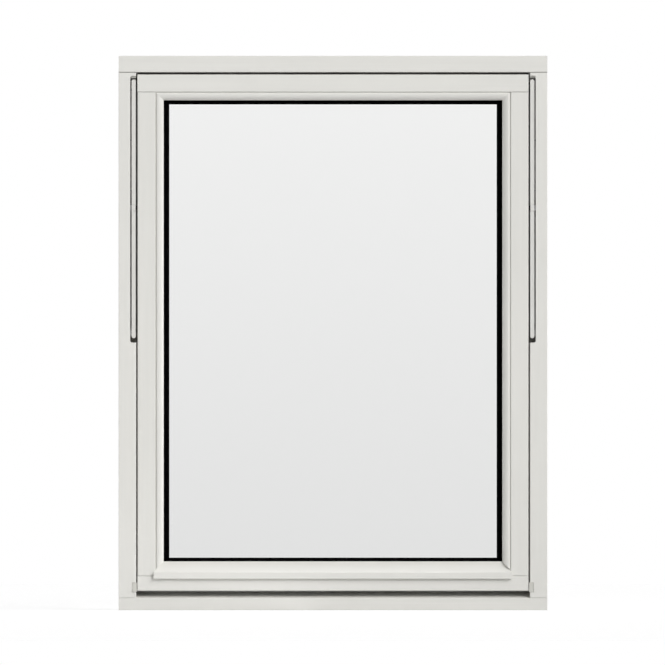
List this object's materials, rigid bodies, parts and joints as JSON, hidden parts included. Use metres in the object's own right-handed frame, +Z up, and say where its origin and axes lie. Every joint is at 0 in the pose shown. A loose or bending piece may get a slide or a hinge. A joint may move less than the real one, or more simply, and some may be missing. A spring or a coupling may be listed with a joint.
{
  "type": "pivot window",
  "caption": "White timber pivot window in its frame: the glazed sash slides and swings out on arms and guide rails until it has turned over, with a handle-driven lock in its foot.",
  "frame": {"origin": "middle of the sill's underside", "axes": "+Z up, +Y into the room (the outside faces -Y), +X to the right seen from outside"},
  "size_m": [0.99, 0.121, 1.28],
  "materials": {
    "painted_timber": "satin paint on pine",
    "white_metal": "white lacquer",
    "zinc_steel": "zinc plated",
    "grey_nylon": "moulded",
    "black_spacer": "matt",
    "black_rubber": "matt",
    "clear_glass": "polished"
  },
  "bodies": {
    "frame": {"frame_head": "painted_timber", "frame_sill": "painted_timber", "frame_jamb_left": "painted_timber", "frame_jamb_right": "painted_timber", "frame_screws": "zinc_steel", "fixing_caps": "painted_timber", "guide_rail_left": "white_metal", "guide_rail_right": "white_metal", "rail_screws": "zinc_steel", "arm_pivot_pins": "zinc_steel", "foot_catch_left": "grey_nylon", "foot_catch_right": "grey_nylon", "catch_screws": "zinc_steel", "lock_keep_left": "zinc_steel", "lock_keep_right": "zinc_steel", "keep_screws": "zinc_steel"},
    "swing_arms": {"swing_arm_left": "zinc_steel", "swing_arm_right": "zinc_steel"},
    "sash": {"sash_top_rail": "painted_timber", "sash_bottom_rail": "painted_timber", "sash_stile_left": "painted_timber", "sash_stile_right": "painted_timber", "glazing_bead_top": "painted_timber", "glazing_bead_left": "painted_timber", "glazing_bead_right": "painted_timber", "drip_bead": "painted_timber", "outer_pane": "clear_glass", "inner_pane": "clear_glass", "edge_spacer": "black_spacer", "edge_sealant": "black_rubber", "outer_glazing_seal": "black_rubber", "inner_glazing_seal": "black_rubber", "setting_blocks": "grey_nylon", "sash_seal": "black_rubber", "sash_bracket_left": "zinc_steel", "sash_bracket_right": "zinc_steel", "bracket_screws": "zinc_steel", "bracket_pins": "zinc_steel", "notch_plugs": "white_metal", "lock_case": "zinc_steel", "lock_faceplate": "zinc_steel", "faceplate_screws": "zinc_steel", "handle_rosette": "white_metal", "rosette_screws": "zinc_steel"},
    "guide_shoes": {"guide_shoe_left": "grey_nylon", "guide_shoe_right": "grey_nylon"},
    "handle": {"handle_lever": "white_metal", "handle_spindle": "zinc_steel", "lock_pinion": "zinc_steel"},
    "lock_bolt_left": {"lock_rod_left": "zinc_steel"},
    "lock_bolt_right": {"lock_rod_right": "zinc_steel"}
  },
  "joints": [
    {"name": "arm_swing", "type": "hinge", "parent": "frame", "child": "swing_arms", "pos_m": [0, -0.0435, 0.641], "axis": [1, 0, 0], "range_deg": [0, 174]},
    {"name": "sash_turn", "type": "hinge", "parent": "swing_arms", "child": "sash", "pos_m": [0, -0.0435, 0.929], "axis": [-1, 0, 0], "range_deg": [0, 348]},
    {"name": "shoe_turn", "type": "hinge", "parent": "sash", "child": "guide_shoes", "pos_m": [0, -0.0435, 1.217], "axis": [1, 0, 0], "range_deg": [0, 174]},
    {"name": "handle_turn", "type": "hinge", "parent": "sash", "child": "handle", "pos_m": [0, 0.006, 0.075], "axis": [0, 1, 0], "range_deg": [0, 90]},
    {"name": "bolt_left_slide", "type": "slide", "parent": "sash", "child": "lock_bolt_left", "axis": [-1, 0, 0], "range_m": [0, 0.01415]},
    {"name": "bolt_right_slide", "type": "slide", "parent": "sash", "child": "lock_bolt_right", "axis": [1, 0, 0], "range_m": [0, 0.01415]}
  ],
  "couplings": [
    {"joint": "arm_swing", "follows": "sash_turn", "ratio": 0.5},
    {"joint": "shoe_turn", "follows": "sash_turn", "ratio": 0.5},
    {"joint": "bolt_left_slide", "follows": "handle_turn", "m_per_rad": 0.009},
    {"joint": "bolt_right_slide", "follows": "handle_turn", "m_per_rad": 0.009}
  ]
}
